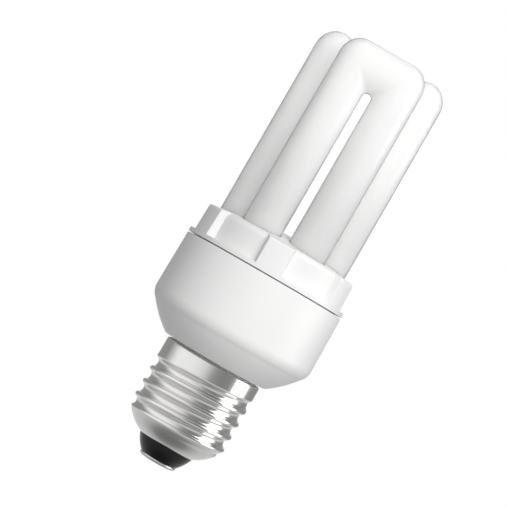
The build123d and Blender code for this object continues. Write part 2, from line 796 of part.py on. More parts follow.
# Axial parts on top of the board: a round body on a lead bent down through it at both ends
for name, places, radius, length, pitch, angle in (
    ("rectifier_diodes", diode_places, diode_radius, diode_length, axial_pitch, 90),
    ("resistors", resistor_places, resistor_radius, resistor_length, axial_pitch, 0),
    ("diac", [diac_place], diac_radius, diac_length, diac_pitch, 0),
):
    axis_z = board_top_z + body_gap + radius
    with BuildPart() as axial_parts:
        for place in places:
            first, last = pair(place, pitch, angle)
            with BuildSketch(upright((*place, axis_z), angle + 90)):
                Circle(radius)
            extrude(amount=length / 2, both=True)
            with BuildLine() as lead_path:
                FilletPolyline(
                    (*first, board_bottom_z - lead_end),
                    (*first, axis_z),
                    (*last, axis_z),
                    (*last, board_bottom_z - lead_end),
                    radius=axial_bend,
                )
            with BuildSketch(Plane.XY.offset(board_bottom_z - lead_end)):
                with Locations(first):
                    Circle(lead_radius)
            sweep(path=lead_path.wires()[0])
    save(axial_parts.part, name)

# Wrap posts: square pins pressed through the board for the tube's leads
with BuildPart() as wrap_posts:
    with BuildSketch(Plane.XY.offset(board_bottom_z - post_depth)):
        for angle in post_angles:
            with Locations(Location((*around(post_radius, angle), 0), (0, 0, angle))):
                Rectangle(post_width, post_width)
    extrude(amount=post_depth + board_thickness + post_height)
save(wrap_posts.part, "wrap_posts")

# Tube leads: two wires from each electrode end, wrapped on the posts
wrap_z = board_top_z + wrap_rise
with BuildPart() as tube_leads:
    with BuildSketch(Plane.XY.offset(wrap_z - wrap_height / 2)):
        for angle in post_angles:
            with Locations(Location((*around(post_radius, angle), 0), (0, 0, angle))):
                Rectangle(post_width + 2 * wrap_wall, post_width + 2 * wrap_wall)
    extrude(amount=wrap_height)
    for end, angle in enumerate(post_angles):
        leg_angle = electrode_angles[end // 2]
        leg_middle = around(leg_circle_radius, leg_angle)
        start = pair(leg_middle, 2 * tube_lead_spread, leg_angle + 90)[end % 2]
        with BuildLine() as wire_path:
            FilletPolyline(
                (*start, tube_end_z - fit),
                (*start, wrap_z),
                (*around(post_radius, angle), wrap_z),
                radius=tube_lead_bend,
            )
        with BuildSketch(Plane.XY.offset(tube_end_z - fit)):
            with Locations(start):
                Circle(tube_lead_radius)
        sweep(path=wire_path.wires()[0])
    with BuildSketch(Plane.XY.offset(board_top_z)):
        for angle in post_angles:
            with Locations(Location((*around(post_radius, angle), 0), (0, 0, angle))):
                Rectangle(post_width + fit, post_width + fit)
    extrude(amount=post_height, mode=Mode.SUBTRACT)
save(tube_leads.part, "tube_leads")
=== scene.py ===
from math import asin, atan2, cos, hypot, pi, radians, sin, sqrt, tan, tau

import bmesh
import bpy
from bpy.props import FloatProperty, FloatVectorProperty, IntProperty, PointerProperty
from bpy.types import Operator, Panel, PropertyGroup
from mathutils import Matrix, Vector


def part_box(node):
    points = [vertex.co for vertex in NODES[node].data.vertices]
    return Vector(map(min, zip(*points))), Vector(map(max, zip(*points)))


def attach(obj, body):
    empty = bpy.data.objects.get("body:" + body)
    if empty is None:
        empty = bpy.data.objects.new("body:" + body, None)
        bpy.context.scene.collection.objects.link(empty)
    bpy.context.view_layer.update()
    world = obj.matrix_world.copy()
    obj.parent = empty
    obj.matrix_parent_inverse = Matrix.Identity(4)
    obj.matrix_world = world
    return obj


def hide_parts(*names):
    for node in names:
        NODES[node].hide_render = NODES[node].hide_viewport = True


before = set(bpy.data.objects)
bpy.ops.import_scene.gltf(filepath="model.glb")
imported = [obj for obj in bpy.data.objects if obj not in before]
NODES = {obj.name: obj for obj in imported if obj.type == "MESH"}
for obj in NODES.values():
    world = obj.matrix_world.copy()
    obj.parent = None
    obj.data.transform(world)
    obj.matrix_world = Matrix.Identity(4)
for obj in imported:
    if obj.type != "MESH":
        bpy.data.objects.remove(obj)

bl_info = {
    "name": "Three-tube energy saving lamp",
    "version": (1, 0, 0),
    "blender": (4, 5, 0),
    "location": "View3D > Sidebar > Lamp",
    "description": "Dresses the packed lamp with a threaded shell, blown tubes, finishes and a plain studio",
    "category": "Object",
}

MM = 0.001
# Points that lie closer than this are made one, and a radius this near another counts as the same
MERGE_DISTANCE = 0.001 * MM
NEAR = 0.01 * MM
CREASE_ANGLE = radians(28)

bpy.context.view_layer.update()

WHITE = (1.0, 1.0, 1.0)
BLACK = (0.0, 0.0, 0.0)
FLOOR_TONES = ((0.44, 0.44, 0.44), (0.46, 0.46, 0.46))
COPPER = (0.62, 0.27, 0.12)
COPPER_WIRE = 0.35 * MM

# Brightness that shiny surfaces see at eye level, as a share of the strip light's, all the way round the lamp:
# 0 and 1 lie behind it, 0.25 on its left, 0.5 at the camera and 0.75 on its right
STRIP_LEVEL = 3.5
EYE_LEVEL = (
    (0.0, 0.285), (0.02, 0.285), (0.045, 0.092), (0.18, 0.095), (0.224, 0.18), (0.26, 0.275), (0.29, 0.31),
    (0.40, 0.295), (0.451, 0.257), (0.476, 0.229), (0.5, 0.18), (0.524, 0.123), (0.549, 0.092), (0.60, 0.075),
    (0.651, 0.086), (0.679, 0.146), (0.70, 0.9), (0.71, 1.0), (0.775, 1.0), (0.80, 0.3), (0.817, 0.115),
    (0.87, 0.083), (0.955, 0.10), (0.98, 0.285), (1.0, 0.285),
)
# Brightness that shiny surfaces see at other heights, from straight below, at 0, to straight above, at 1
LOW_LEVEL = (
    (0.0, 0.19), (0.034, 0.26), (0.055, 0.36), (0.08, 0.47), (0.157, 0.63), (0.25, 0.66), (0.4, 0.85), (1.0, 0.9),
)
# How far those count over the levels round about, by the same heights
LOW_SHARE = ((0.30, 1.0), (0.46, 0.0))
# How much brighter the room's light is from the right, from the far side and from above, as a share of it
ROOM_SLOPE = (0.26, -0.13, 0.455)
# Where the light from behind lies, from the camera's side, at 0, to the far side, at 1
REAR_SHARE = ((0.80, 0.0), (0.95, 1.0))
# Painted edge shade on the tubes, which darkens their colour and dims their painted glow, from the middle of a tube,
# at 0, to its edge, at 1
PAINTED_EDGE_SHADE = ((0.6, 0.0), (0.94, 1.0))

# Colour, roughness, spots of grain to the metre, depth of the grain and how far the colour varies
MOULDINGS = {
    "cement": ((0.85, 0.84, 0.80), 0.9, 1500.0, 0.04 * MM, 0.05),
    "phenolic_board": ((0.52, 0.35, 0.18), 0.5, 1800.0, 0.006 * MM, 0.12),
    "can_sleeve": ((0.03, 0.05, 0.11), 0.25, 500.0, 0.004 * MM, 0.12),
    "film_resin": ((0.10, 0.27, 0.13), 0.28, 700.0, 0.02 * MM, 0.12),
    "disc_resin": ((0.72, 0.42, 0.08), 0.3, 800.0, 0.02 * MM, 0.12),
    "black_moulding": ((0.04, 0.04, 0.04), 0.5, 3200.0, 0.008 * MM, 0.12),
    "ferrite": ((0.10, 0.10, 0.11), 0.7, 2600.0, 0.01 * MM, 0.12),
    "bobbin_nylon": ((0.75, 0.73, 0.66), 0.45, 2000.0, 0.006 * MM, 0.04),
    "resistor_lacquer": ((0.66, 0.57, 0.40), 0.4, 900.0, 0.01 * MM, 0.12),
    "shrunk_sleeve": ((0.86, 0.85, 0.80), 0.55, 1200.0, 0.01 * MM, 0.04),
    "diac_glass": ((0.12, 0.25, 0.55), 0.15, 600.0, 0.004 * MM, 0.12),
}
# Colour, roughness and depth of the scratches
METALS = {
    "tinned_brass": ((0.62, 0.61, 0.59), 0.34, 0.004 * MM),
    "solder": ((0.66, 0.66, 0.67), 0.36, 0.006 * MM),
    "tinned_wire": ((0.70, 0.69, 0.66), 0.32, 0.002 * MM),
}
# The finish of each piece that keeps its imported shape
FINISH_OF = {
    "cap_insulator": "black_glass",
    "end_contact": "tinned_brass",
    "contact_solder": "solder",
    "tube_holder": "white_plastic",
    "tube_cement": "cement",
    "circuit_board": "phenolic_board",
    "solder_joints": "solder",
    "filter_capacitor": "can_sleeve",
    "resonant_capacitor": "film_resin",
    "blocking_capacitor": "film_resin",
    "start_capacitor": "disc_resin",
    "start_thermistor": "disc_resin",
    "transistors": "black_moulding",
    "rectifier_diodes": "black_moulding",
    "choke_core": "ferrite",
    "input_choke_core": "ferrite",
    "drive_ring": "ferrite",
    "choke_bobbin": "bobbin_nylon",
    "choke_winding": "enamelled_wire",
    "input_choke_winding": "enamelled_wire",
    "drive_windings": "enamelled_wire",
    "choke_pins": "tinned_wire",
    "live_lead": "tinned_wire",
    "neutral_lead": "tinned_wire",
    "wrap_posts": "tinned_wire",
    "tube_leads": "tinned_wire",
    "fuse_resistor": "resistor_lacquer",
    "resistors": "resistor_lacquer",
    "fuse_sleeve": "shrunk_sleeve",
    "diac": "diac_glass",
}


class ShellSizes(PropertyGroup):
    """The rolled shell of the screw cap."""

    crest_radius: FloatProperty(
        name="Crest radius", description="Radius of the thread's crests", default=13.2 * MM, unit="LENGTH"
    )
    root_radius: FloatProperty(
        name="Root radius", description="Radius at the bottom of the groove", default=12.05 * MM, unit="LENGTH"
    )
    pitch: FloatProperty(
        name="Pitch", description="Rise of the thread in one turn", default=25.4 / 7 * MM, unit="LENGTH"
    )
    crest_rounding: FloatProperty(
        name="Crest rounding", description="Radius of the thread's rounded crests", default=0.75 * MM, unit="LENGTH"
    )
    groove_start: FloatProperty(
        name="Groove start", description="Height where the groove starts", default=5.2 * MM, unit="LENGTH"
    )
    groove_turns: FloatProperty(
        name="Groove turns", description="Turns of the groove at full depth", default=4 + 5 / 6
    )
    run_out: FloatProperty(
        name="Run out", description="Angle in which the groove leaves the metal", default=radians(150),
        subtype="ANGLE"
    )
    shoulder_height: FloatProperty(
        name="Shoulder height", description="Height where the barrel meets the shoulder", default=10.5 * MM,
        unit="LENGTH"
    )
    shoulder_bulge: FloatProperty(
        name="Shoulder bulge", description="How far the shoulder stands proud of a cone", default=0.75 * MM,
        unit="LENGTH"
    )
    lip_radius: FloatProperty(
        name="Lip radius", description="Radius of the lip round the insulator", default=7.55 * MM, unit="LENGTH"
    )
    skirt_height: FloatProperty(
        name="Skirt height", description="Height where the plain skirt starts", default=23.3 * MM, unit="LENGTH"
    )
    skirt_step: FloatProperty(
        name="Skirt step", description="How far the skirt lies inside the crests", default=0.12 * MM, unit="LENGTH"
    )
    skirt_blend: FloatProperty(
        name="Skirt blend", description="Height in which the barrel steps in to the skirt", default=0.5 * MM,
        unit="LENGTH"
    )
    skirt_drop: FloatProperty(
        name="Skirt drop", description="How far the skirt's rolled edge lies under its highest place",
        default=0.15 * MM, unit="LENGTH"
    )
    bore_step: FloatProperty(
        name="Bore step", description="Height where the bore starts to widen into the skirt", default=24.4 * MM,
        unit="LENGTH"
    )
    bore_blend: FloatProperty(
        name="Bore blend", description="Height in which the bore widens", default=0.7 * MM, unit="LENGTH"
    )
    wall: FloatProperty(name="Wall", description="Thickness of the sheet", default=0.3 * MM, unit="LENGTH")
    edge_softness: FloatProperty(
        name="Edge softness", description="Softness of the edge where a groove leaves the shoulder",
        default=0.3 * MM, unit="LENGTH"
    )


class HousingSizes(PropertyGroup):
    """The moulded bowl over the ballast."""

    wall: FloatProperty(name="Wall", description="Thickness of the bowl", default=1.6 * MM, unit="LENGTH")
    foot_radius: FloatProperty(
        name="Foot radius", description="Radius where the bowl stands over the cap", default=14.3 * MM, unit="LENGTH"
    )
    foot_height: FloatProperty(
        name="Foot height", description="Height of the bowl's foot", default=29.05 * MM, unit="LENGTH"
    )
    cone_angle: FloatProperty(
        name="Cone angle", description="Slope of the bowl's lower part, from the axis", default=radians(46),
        subtype="ANGLE"
    )
    cone_bulge: FloatProperty(
        name="Cone bulge", description="How far the lower part swells past a straight cone", default=0.35 * MM,
        unit="LENGTH"
    )
    draft: FloatProperty(
        name="Draft", description="How far the rim lies inside the widest place", default=0.25 * MM, unit="LENGTH"
    )
    shoulder_rounding: FloatProperty(
        name="Shoulder rounding", description="Radius between the cone and the wall", default=4.5 * MM, unit="LENGTH"
    )
    rim_rounding: FloatProperty(
        name="Rim rounding", description="Radius of the rim's outer edge", default=0.3 * MM, unit="LENGTH"
    )
    neck_radius: FloatProperty(
        name="Neck radius", description="Radius of the neck in the cap", default=11.7 * MM, unit="LENGTH"
    )
    neck_wall: FloatProperty(name="Neck wall", description="Thickness of the neck", default=1.3 * MM, unit="LENGTH")
    collar_radius: FloatProperty(
        name="Collar radius", description="Radius of the neck in the cap's skirt", default=12.85 * MM, unit="LENGTH"
    )
    collar_height: FloatProperty(
        name="Collar height", description="Height where the neck has widened to the skirt", default=25.25 * MM,
        unit="LENGTH"
    )
    collar_blend: FloatProperty(
        name="Collar blend", description="Height in which the neck widens", default=0.7 * MM, unit="LENGTH"
    )
    shadow_groove: FloatProperty(
        name="Shadow groove", description="Height of the groove under the foot", default=0.9 * MM, unit="LENGTH"
    )


class TubeSizes(PropertyGroup):
    """The three bent glass tubes."""

    radius: FloatProperty(name="Radius", description="Radius of each tube", default=5.15 * MM, unit="LENGTH")
    circle_radius: FloatProperty(
        name="Leg circle", description="Radius of the circle that the legs stand on", default=12.65 * MM,
        unit="LENGTH"
    )
    crown_height: FloatProperty(
        name="Crown height", description="Half the height of the tube across the crown", default=5.8 * MM,
        unit="LENGTH"
    )
    slot_rounding: FloatProperty(
        name="Slot rounding", description="Radius of the bend between a leg and the crown", default=1.1 * MM,
        unit="LENGTH"
    )
    bridge_radius: FloatProperty(
        name="Bridge radius", description="Radius of the bridges between the tubes", default=2.4 * MM, unit="LENGTH"
    )
    bridge_height: FloatProperty(
        name="Bridge height", description="Height of the bridges", default=57.6 * MM, unit="LENGTH"
    )


class Colours(PropertyGroup):
    """The colours of the finishes."""

    nickel: FloatVectorProperty(
        name="Nickel", description="Nickel plate of the cap", default=(0.76, 0.755, 0.74), subtype="COLOR", size=3
    )
    plastic: FloatVectorProperty(
        name="Plastic", description="White moulded plastic", default=(0.88, 0.88, 0.875), subtype="COLOR", size=3
    )
    glass: FloatVectorProperty(
        name="Coated glass", description="Glass with its white coating inside", default=(0.86, 0.86, 0.855),
        subtype="COLOR", size=3
    )
    black_glass: FloatVectorProperty(
        name="Black glass", description="Glass of the insulator", default=(0.003, 0.003, 0.003),
        subtype="COLOR", size=3
    )


class StudioSettings(PropertyGroup):
    """The floor, the light and the camera."""

    distance: FloatProperty(
        name="Camera distance", description="From the lamp's axis to the camera", default=475 * MM, unit="LENGTH"
    )
    eye_height: FloatProperty(name="Eye height", description="Height of the camera", default=47 * MM, unit="LENGTH")
    aim_height: FloatProperty(
        name="Aim height", description="Height of the middle of the picture", default=56.8 * MM, unit="LENGTH"
    )
    aim_side: FloatProperty(
        name="Aim side", description="The middle of the picture, to the right of the axis", default=-5.0 * MM,
        unit="LENGTH"
    )
    roll: FloatProperty(
        name="Roll", description="How far the lamp leans in the picture", default=radians(30), subtype="ANGLE"
    )
    lens: FloatProperty(name="Lens", description="Focal length in millimetres", default=135.6)
    key_power: FloatProperty(name="Key light", description="Power of the soft key light", default=11.0, unit="POWER")
    key_side: FloatProperty(
        name="Key side", description="Key light's angle to the right of the camera", default=radians(20),
        subtype="ANGLE"
    )
    key_height: FloatProperty(
        name="Key height", description="Key light's angle above the lamp", default=radians(24), subtype="ANGLE"
    )
    key_distance: FloatProperty(
        name="Key distance", description="From the lamp to the key light", default=1.2, unit="LENGTH"
    )
    key_size: FloatProperty(name="Key size", description="Width of the key light", default=0.9, unit="LENGTH")
    fill: FloatProperty(name="Fill", description="Brightness of the room's even light", default=0.3)
    rear_light: FloatProperty(name="Rear light", description="Brightness of the light from behind", default=1.8)
    back_light: FloatProperty(
        name="Back light", description="Brightness of the light that shines through the glass", default=1.5
    )
    floor_height: FloatProperty(
        name="Floor height", description="The floor, under the lamp that is held by its cap", default=-85 * MM,
        unit="LENGTH"
    )
    floor_reach: FloatProperty(
        name="Floor reach", description="From the middle of the floor to its sides", default=0.8, unit="LENGTH"
    )
    floor_glow: FloatProperty(
        name="Floor glow", description="Brightness added to the floor in the camera's view", default=0.9
    )


class Wire:
    """One output of a node, on which Python's arithmetic adds Math nodes."""

    def __init__(self, nodes, output):
        self.nodes = nodes
        self.output = output

    def join(self, operation, first, second):
        return self.nodes.add("ShaderNodeMath", {"operation": operation}, {0: first, 1: second})["Value"]

    def __add__(self, other):
        return self.join("ADD", self, other)

    def __radd__(self, other):
        return self.join("ADD", other, self)

    def __sub__(self, other):
        return self.join("SUBTRACT", self, other)

    def __rsub__(self, other):
        return self.join("SUBTRACT", other, self)

    def __mul__(self, other):
        return self.join("MULTIPLY", self, other)

    def __rmul__(self, other):
        return self.join("MULTIPLY", other, self)


class Outputs:
    """A node whose outputs are taken by name."""

    def __init__(self, nodes, node):
        self.nodes = nodes
        self.node = node

    def __getitem__(self, name):
        return Wire(self.nodes, self.node.outputs[name])


class Nodes:
    """A node tree that is built by one call for each node."""

    def __init__(self, tree):
        self.tree = tree
        tree.nodes.clear()

    def add(self, kind, settings=None, inputs=None):
        node = self.tree.nodes.new(kind)
        for name, value in (settings or {}).items():
            if name == "stops":
                self.set_stops(node.color_ramp, value)
            else:
                setattr(node, name, value)
        for key, value in (inputs or {}).items():
            if isinstance(value, Wire):
                self.tree.links.new(value.output, node.inputs[key])
            else:
                node.inputs[key].default_value = value
        return Outputs(self, node)

    def set_stops(self, ramp, stops):
        while len(ramp.elements) < len(stops):
            ramp.elements.new(1.0)
        for element, (place, level) in zip(ramp.elements, stops):
            element.position = place
            element.color = (level, level, level, 1)

    def place(self):
        return self.add("ShaderNodeTexCoord")["Object"]

    def noise(self, scale, detail=3.0, stretch=(1, 1, 1)):
        """Noise that lies still on the piece, with scale spots to the metre."""
        place = self.add("ShaderNodeMapping", None, {"Vector": self.place(), "Scale": stretch})["Vector"]
        inputs = {"Vector": place, "Scale": scale, "Detail": detail}
        return self.add("ShaderNodeTexNoise", None, inputs)["Fac"]

    def ramp(self, stops, amount):
        return self.add("ShaderNodeValToRGB", {"stops": stops}, {"Fac": amount})["Color"]

    def blend(self, amount, first, second):
        inputs = {"Factor": amount, 6: rgba(first), 7: rgba(second)}
        return self.add("ShaderNodeMix", {"data_type": "RGBA"}, inputs)[2]

    def bump(self, height, depth):
        inputs = {"Height": height, "Strength": 1.0, "Distance": depth}
        return self.add("ShaderNodeBump", None, inputs)["Normal"]


def choose(mask, first, second):
    """The first value where the mask is 0, and the second where it is 1."""
    return first + mask * (second - first)


def rgba(colour):
    return colour if isinstance(colour, Wire) else (*colour[:3], 1.0)


def shade(colour, factor):
    return tuple(min(1.0, channel * factor) for channel in colour)


def finish(name, build):
    """A material whose nodes come from build, which returns the inputs of its one shader."""
    material = bpy.data.materials.new(name)
    material.use_nodes = True
    nodes = Nodes(material.node_tree)
    shader = nodes.add("ShaderNodeBsdfPrincipled", None, build(nodes))["BSDF"]
    nodes.add("ShaderNodeOutputMaterial", None, {"Surface": shader})
    return material


def nickel_plate(colour):
    def build(nodes):
        cloud = nodes.noise(260.0)
        streaks = nodes.noise(900.0, 4.0, (1, 1, 6))
        return {
            "Base Color": nodes.blend(cloud, shade(colour, 0.97), shade(colour, 1.02)),
            "Metallic": 1.0,
            "Roughness": 0.09 + 0.06 * streaks,
            "Normal": nodes.bump(streaks, 0.002 * MM),
        }
    return finish("nickel_plate", build)


def white_plastic(colour):
    def build(nodes):
        grain = nodes.noise(5200.0, 2.0)
        flow = nodes.noise(45.0)
        return {
            "Base Color": nodes.blend(flow, shade(colour, 0.99), shade(colour, 1.01)),
            "Roughness": 0.34 + 0.08 * grain,
            "Normal": nodes.bump(grain, 0.012 * MM),
        }
    return finish("white_plastic", build)


def coated_glass(colour):
    def build(nodes):
        powder = nodes.noise(1400.0, 4.0)
        drift = nodes.noise(60.0)
        coating = nodes.blend(0.5 * powder + 0.5 * drift, shade(colour, 0.985), shade(colour, 1.01))
        # Painted shade: the colour darkens to a grey line where the tube is seen edge on, and the painted glow fades
        # there
        facing = nodes.add("ShaderNodeLayerWeight", None, {"Blend": 0.5})["Facing"]
        wall = nodes.ramp(PAINTED_EDGE_SHADE, facing)
        return {
            "Base Color": nodes.blend(wall, coating, shade(colour, 0.3)),
            "Roughness": 0.85 + 0.1 * powder,
            "Transmission Weight": 0.25,
            # Painted glow: the unlit tubes give off a little light of their own, white in the middle of each tube
            # and none at its edges, in place of light scattered through the coating
            "Emission Color": nodes.blend(wall, WHITE, BLACK),
            "Emission Strength": 0.12,
            "IOR": 1.3,
            "Subsurface Weight": 1.0,
            "Subsurface Radius": (1.0, 1.0, 1.0),
            "Subsurface Scale": 4 * MM,
            "Coat Weight": 1.0,
            "Coat Roughness": 0.03,
            "Coat IOR": 1.5,
        }
    return finish("coated_glass", build)


def black_glass(colour):
    def build(nodes):
        swirl = nodes.noise(300.0, 3.0, (1, 1, 3))
        return {
            "Base Color": nodes.blend(swirl, shade(colour, 0.8), shade(colour, 1.6)),
            "Roughness": 0.04 + 0.05 * swirl,
            "Specular IOR Level": 0.35,
            "Normal": nodes.bump(swirl, 0.004 * MM),
        }
    return finish("black_glass", build)


def worn_metal(name, colour, roughness, depth):
    def build(nodes):
        cloud = nodes.noise(500.0)
        scratches = nodes.noise(1500.0, 4.0, (1, 12, 1))
        return {
            "Base Color": nodes.blend(cloud, shade(colour, 0.85), shade(colour, 1.08)),
            "Metallic": 1.0,
            "Roughness": roughness - 0.06 + 0.16 * scratches,
            "Normal": nodes.bump(scratches, depth),
        }
    return finish(name, build)


def moulded(name, colour, roughness, grain_scale, depth, spread):
    def build(nodes):
        cloud = nodes.noise(grain_scale / 6)
        grain = nodes.noise(grain_scale)
        return {
            "Base Color": nodes.blend(cloud, shade(colour, 1 - spread), shade(colour, 1 + spread)),
            "Roughness": roughness - 0.05 + 0.1 * grain,
            "Normal": nodes.bump(grain, depth),
        }
    return finish(name, build)


def wound_wire(name, colour, wire):
    def build(nodes):
        height = nodes.add("ShaderNodeSeparateXYZ", None, {"Vector": nodes.place()})["Z"]
        turns = nodes.add("ShaderNodeMath", {"operation": "SINE"}, {0: height * (tau / wire)})["Value"]
        cloud = nodes.noise(700.0)
        return {
            # Painted shade and highlight: the colour darkens in the grooves between the turns and lightens on their
            # tops, in step with the bump
            "Base Color": nodes.blend(0.5 + 0.35 * turns, shade(colour, 0.55), shade(colour, 1.1)),
            "Metallic": 0.7,
            "Roughness": 0.25 + 0.12 * cloud,
            "Normal": nodes.bump(turns, wire / 6),
        }
    return finish(name, build)


def keep(mesh, name, material, node):
    """Makes a piece of the bmesh that stands for a CAD node."""
    bmesh.ops.recalc_face_normals(mesh, faces=mesh.faces[:])
    for face in mesh.faces:
        face.smooth = True
    data = bpy.data.meshes.new(name)
    mesh.to_mesh(data)
    mesh.free()
    data.materials.append(material)
    piece = bpy.data.objects.new(name, data)
    bpy.context.scene.collection.objects.link(piece)
    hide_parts(node)
    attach(piece, "root")


def merge(mesh):
    bmesh.ops.remove_doubles(mesh, verts=mesh.verts[:], dist=MERGE_DISTANCE)


def everything(mesh):
    return mesh.verts[:] + mesh.edges[:] + mesh.faces[:]


def only_verts(geom):
    return [item for item in geom if isinstance(item, bmesh.types.BMVert)]


def line(mesh, points, closed=False):
    """Joins points by edges and returns the edges."""
    verts = [mesh.verts.new(point) for point in points]
    ends = verts[1:] + verts[:1] if closed else verts[1:]
    return [mesh.edges.new(pair) for pair in zip(verts, ends)]


def lathe(section, columns):
    """A closed section, as (radius, height) points, spun round the lamp's axis."""
    mesh = bmesh.new()
    line(mesh, [(radius, 0, height) for radius, height in section], closed=True)
    bmesh.ops.spin(
        mesh, geom=everything(mesh), cent=(0, 0, 0), axis=(0, 0, 1), angle=tau, steps=columns,
        use_merge=True, use_duplicate=False
    )
    merge(mesh)
    return mesh


def quarter_turn(steps):
    """Angles from 0 to 90 degrees in even steps."""
    return [pi / 2 * step / steps for step in range(steps + 1)]


def arc(start, end, bulge, count):
    """Points from start to end, both (radius, height), on an arc that stands bulge proud of their chord."""
    start, end = Vector(start), Vector(end)
    half = (end - start) / 2
    side = Vector((half.y, -half.x)).normalized()
    curve_radius = (half.length_squared + bulge * bulge) / (2 * bulge)
    middle = start + half - side * (curve_radius - bulge)
    spread = asin(half.length / curve_radius)
    points = []
    for step in range(count + 1):
        turn = spread * (2 * step / count - 1)
        points.append(middle + curve_radius * (side * cos(turn) + half.normalized() * sin(turn)))
    return points


def ease(share):
    """A step from 0 to 1 with soft ends."""
    share = min(max(share, 0), 1)
    return share * share * (3 - 2 * share)


def soft_least(first, second, softness):
    """The lesser of two values, with the corner between them rounded."""
    blend = max(softness - abs(first - second), 0) / softness
    return min(first, second) - blend * blend * softness / 4


def round_thread(sizes, away):
    """Height of the thread at this distance from the middle of the groove: 0 there and 1 on the crest."""
    depth, half_pitch = sizes.crest_radius - sizes.root_radius, sizes.pitch / 2
    slope = 2 * atan2(depth, half_pitch)
    crest = sizes.crest_rounding
    root = half_pitch / sin(slope) - crest
    if away < root * sin(slope):
        return (root - sqrt(root ** 2 - away ** 2)) / depth
    if away < half_pitch:
        return 1 - (crest - sqrt(crest ** 2 - (half_pitch - away) ** 2)) / depth
    return 1.0


def groove_radius(sizes, angle, height):
    """Radius of the thread at this place on the shell, or that of its crests where there is no groove."""
    least = sizes.crest_radius
    for turn in range(int(sizes.groove_turns) + 2):
        turns = angle / tau + turn
        run_out = ease((turns - sizes.groove_turns) * tau / sizes.run_out)
        away = abs(height - sizes.groove_start - turns * sizes.pitch)
        depth = (sizes.crest_radius - sizes.root_radius) * (1 - run_out)
        least = min(least, sizes.crest_radius - depth * (1 - round_thread(sizes, away)))
    return least


class LAMP_OT_screw_shell(Operator):
    """Make the threaded shell of the screw cap"""

    bl_idname = "lamp.screw_shell"
    bl_label = "Screw shell"

    columns: IntProperty(name="Columns", description="Faces round the shell", default=288, min=24)
    rows: IntProperty(name="Rows", description="Faces up the barrel", default=132, min=10)

    def execute(self, context):
        sizes = context.scene.lamp_shell
        low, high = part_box("screw_shell")
        crest, wall = sizes.crest_radius, sizes.wall
        top = high.z - sizes.skirt_drop
        bore = sizes.root_radius - wall
        skirt_bore = crest - sizes.skirt_step - wall
        outer_shoulder = arc(
            (sizes.lip_radius, low.z), (crest, sizes.shoulder_height), sizes.shoulder_bulge, count=24
        )
        barrel_rise = (top - wall - sizes.shoulder_height) / self.rows
        barrel = [(crest, sizes.shoulder_height + barrel_rise * (row + 1)) for row in range(self.rows)]
        rolled = [(skirt_bore + wall * cos(turn), top - wall * (1 - sin(turn))) for turn in quarter_turn(6)]
        inside = [(skirt_bore, sizes.bore_step + sizes.bore_blend), (bore, sizes.bore_step)]
        inner_shoulder = arc(
            (bore, sizes.shoulder_height - wall), (sizes.lip_radius, low.z + wall), -sizes.shoulder_bulge, count=10
        )
        mesh = lathe(outer_shoulder + barrel + rolled + inside + inner_shoulder, self.columns)
        for vert in mesh.verts:
            radius, height = hypot(vert.co.x, vert.co.y), vert.co.z
            groove = groove_radius(sizes, atan2(vert.co.y, vert.co.x) % tau, height)
            if radius > crest - NEAR:
                target = groove - sizes.skirt_step * ease((height - sizes.skirt_height) / sizes.skirt_blend)
            elif radius > bore + NEAR and height < sizes.shoulder_height:
                target = soft_least(radius, groove, sizes.edge_softness)
            else:
                continue
            vert.co.xy = vert.co.xy * (target / radius)
        keep(mesh, "threaded_shell", nickel_plate(context.scene.lamp_colours.nickel), "screw_shell")
        return {"FINISHED"}


class LAMP_OT_housing(Operator):
    """Make the moulded bowl with its neck and the groove under its foot"""

    bl_idname = "lamp.housing"
    bl_label = "Housing"

    columns: IntProperty(name="Columns", description="Faces round the bowl", default=192, min=24)

    def execute(self, context):
        sizes = context.scene.lamp_housing
        low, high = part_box("ballast_housing")
        widest, rim_radius = high.x, high.x - sizes.draft
        slope, wall, foot = sizes.cone_angle, sizes.wall, sizes.foot_height
        cone_top = foot + (widest - sizes.foot_radius) / tan(slope)
        reach = sizes.shoulder_rounding * tan(slope / 2)
        cone_end = (widest - reach * sin(slope), cone_top - reach * cos(slope))
        cone = arc((sizes.foot_radius, foot), cone_end, sizes.cone_bulge, count=12)
        shoulder = arc(
            cone_end, (widest, cone_top + reach), sizes.shoulder_rounding * (1 - cos(slope / 2)), count=10
        )
        rounding = sizes.rim_rounding
        rim = arc(
            (rim_radius, high.z - rounding), (rim_radius - rounding, high.z), rounding * (1 - cos(pi / 4)), count=4
        )
        neck = [
            (sizes.neck_radius, low.z),
            (sizes.neck_radius, sizes.collar_height - sizes.collar_blend),
            (sizes.collar_radius, sizes.collar_height),
            (sizes.collar_radius, foot - sizes.shadow_groove),
            (sizes.neck_radius, foot - sizes.shadow_groove),
            (sizes.neck_radius, foot),
        ]
        inner_cone_top = cone_top + wall * tan(slope / 2)
        bore = sizes.neck_radius - sizes.neck_wall
        inside = [
            (rim_radius - wall, high.z),
            (widest - wall, inner_cone_top),
            (bore, inner_cone_top - (widest - wall - bore) / tan(slope)),
            (bore, low.z),
        ]
        mesh = lathe(neck + cone + shoulder[1:] + rim + inside, self.columns)
        for edge in mesh.edges:
            edge.smooth = not edge.is_manifold or edge.calc_face_angle() < CREASE_ANGLE
        keep(mesh, "bowl", white_plastic(context.scene.lamp_colours.plastic), "ballast_housing")
        return {"FINISHED"}


